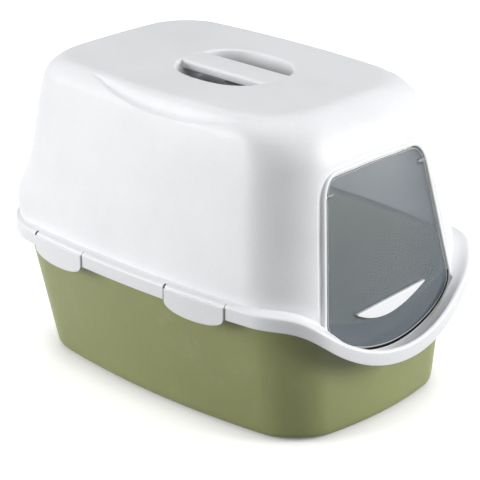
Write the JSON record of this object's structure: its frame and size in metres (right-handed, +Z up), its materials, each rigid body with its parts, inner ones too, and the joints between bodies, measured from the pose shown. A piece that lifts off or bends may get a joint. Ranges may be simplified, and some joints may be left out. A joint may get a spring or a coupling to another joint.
{
  "type": "hooded cat litter box",
  "caption": "Hooded cat litter box: green tray, white lift-off hood with carry handle, smoked swing door, four side clips and a charcoal filter cover.",
  "frame": {"origin": "centre of the footprint on the surface that the feet stand on", "axes": "+X across the width, -Y towards the door, +Z up"},
  "size_m": [0.4, 0.567, 0.395],
  "materials": {
    "green_plastic": "satin moulded polypropylene, olive green",
    "rubber": "matt",
    "white_plastic": "satin moulded polypropylene, white",
    "pin_white": "satin",
    "smoked_clear_plastic": "polished, smoke tint",
    "grip_white": "satin",
    "clip_white": "satin",
    "cover_white": "satin",
    "charcoal_felt": "needled felt"
  },
  "bodies": {
    "base": {"tray": "green_plastic", "foot_front_left": "rubber", "foot_rear_left": "rubber", "foot_front_right": "rubber", "foot_rear_right": "rubber"},
    "hood": {"hood": "white_plastic", "hinge_pin_left": "pin_white", "hinge_pin_right": "pin_white"},
    "door": {"door": "smoked_clear_plastic", "door_grip": "grip_white"},
    "clip_fl": {"clip_front_left": "clip_white"},
    "clip_rl": {"clip_rear_left": "clip_white"},
    "clip_fr": {"clip_front_right": "clip_white"},
    "clip_rr": {"clip_rear_right": "clip_white"},
    "filter": {"filter_cover": "cover_white", "filter_pad": "charcoal_felt"}
  },
  "joints": [
    {"name": "hood_lift", "type": "slide", "parent": "base", "child": "hood", "axis": [0, 0, 1], "range_m": [0, 0.12]},
    {"name": "door_swing", "type": "hinge", "parent": "hood", "child": "door", "pos_m": [0, -0.22363, 0.30778], "axis": [-1, 0, 0], "range_deg": [0, 85]},
    {"name": "clip_fl_bend", "type": "hinge", "parent": "hood", "child": "clip_fl", "pos_m": [-0.19496, -0.113, 0.1825], "axis": [-0.0796, 0.9968, 0], "range_deg": [0, 18], "stiffness_Nm_per_rad": 0.4},
    {"name": "clip_rl_bend", "type": "hinge", "parent": "hood", "child": "clip_rl", "pos_m": [-0.19594, 0.1265, 0.1825], "axis": [0.0715, 0.9974, 0], "range_deg": [0, 18], "stiffness_Nm_per_rad": 0.4},
    {"name": "clip_fr_bend", "type": "hinge", "parent": "hood", "child": "clip_fr", "pos_m": [0.19496, -0.113, 0.1825], "axis": [-0.0796, -0.9968, 0], "range_deg": [0, 18], "stiffness_Nm_per_rad": 0.4},
    {"name": "clip_rr_bend", "type": "hinge", "parent": "hood", "child": "clip_rr", "pos_m": [0.19594, 0.1265, 0.1825], "axis": [0.0715, -0.9974, 0], "range_deg": [0, 18], "stiffness_Nm_per_rad": 0.4},
    {"name": "filter_drop", "type": "hinge", "parent": "hood", "child": "filter", "pos_m": [0, 0.0603, 0.3622], "axis": [1, 0, 0], "range_deg": [0, 80]}
  ]
}
